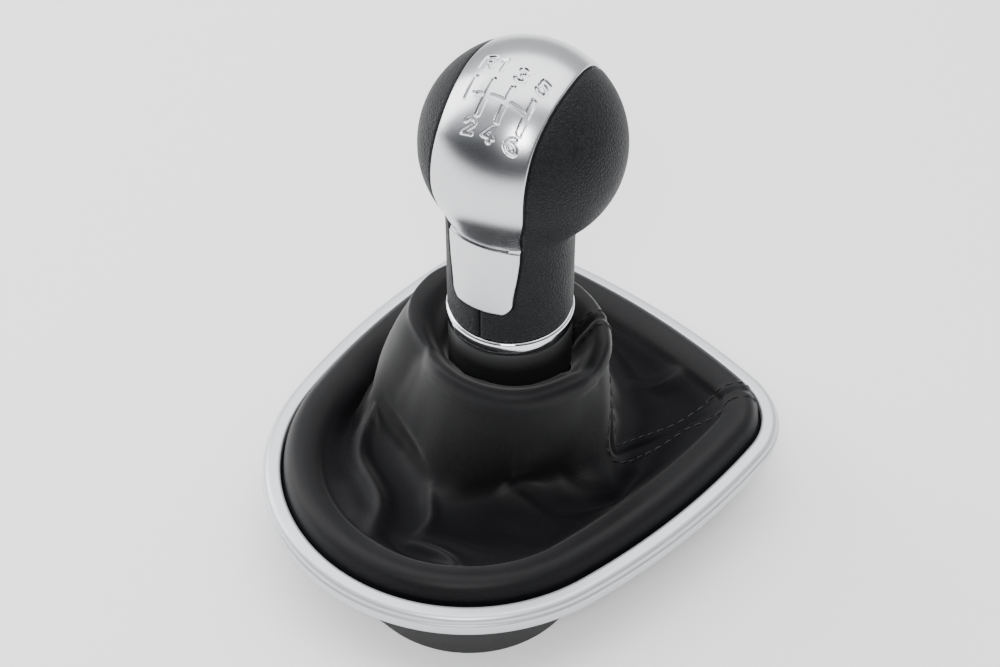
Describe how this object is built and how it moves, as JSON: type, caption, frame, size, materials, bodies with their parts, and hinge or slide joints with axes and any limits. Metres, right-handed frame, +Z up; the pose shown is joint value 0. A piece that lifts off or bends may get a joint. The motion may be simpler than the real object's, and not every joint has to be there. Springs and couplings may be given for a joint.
{
  "type": "gear shift knob with gaiter and console frame",
  "caption": "Ball-headed gear shift knob with a metal trim strip, on a soft leather gaiter in a rounded console frame.",
  "frame": {"origin": "middle of the frame's footprint, on the plane that the skirt stands on", "axes": "+Z up, +Y forward in the vehicle, +X to its right; the lever axis is parallel to Z, a little ahead of the origin"},
  "size_m": [0.1218, 0.1378, 0.1455],
  "materials": {
    "core_plastic": "moulded",
    "grained_leather": "fine grain",
    "satin_chrome": "satin",
    "bright_chrome": "polished",
    "clamp_steel": "rolled",
    "black_plastic": "moulded",
    "smooth_leather": "smooth",
    "silver_finish": "satin silver paint"
  },
  "bodies": {
    "frame": {"bezel": "silver_finish", "carrier": "black_plastic"},
    "gaiter_lower": {"gaiter_main_panel": "smooth_leather"},
    "gaiter_upper": {"gaiter_front_panel": "smooth_leather"},
    "knob": {"knob_core": "core_plastic", "left_cover": "grained_leather", "right_cover": "grained_leather", "trim_strip": "satin_chrome", "chrome_ring": "bright_chrome", "lever_sleeve": "core_plastic", "sleeve_clamp": "clamp_steel", "gaiter_collar": "black_plastic", "gaiter_tie": "black_plastic"}
  },
  "joints": [
    {"name": "shift", "type": "hinge", "parent": "frame", "child": "gaiter_lower", "pos_m": [0, 0.00445, -0.037], "axis": [1, 0, 0], "range_deg": [-12, 12], "deforming": ["gaiter_main_panel", "gaiter_front_panel"]},
    {"name": "select", "type": "hinge", "parent": "gaiter_lower", "child": "gaiter_upper", "pos_m": [0, 0.00445, -0.037], "axis": [0, 1, 0], "range_deg": [-12, 6], "stiffness_Nm_per_rad": 2, "deforming": ["gaiter_main_panel", "gaiter_front_panel"]},
    {"name": "reverse_push", "type": "slide", "parent": "gaiter_upper", "child": "knob", "axis": [0, 0, -1], "range_m": [0, 0.008], "stiffness_N_per_m": 500, "springref_m": -0.008, "deforming": ["gaiter_main_panel", "gaiter_front_panel"]}
  ]
}
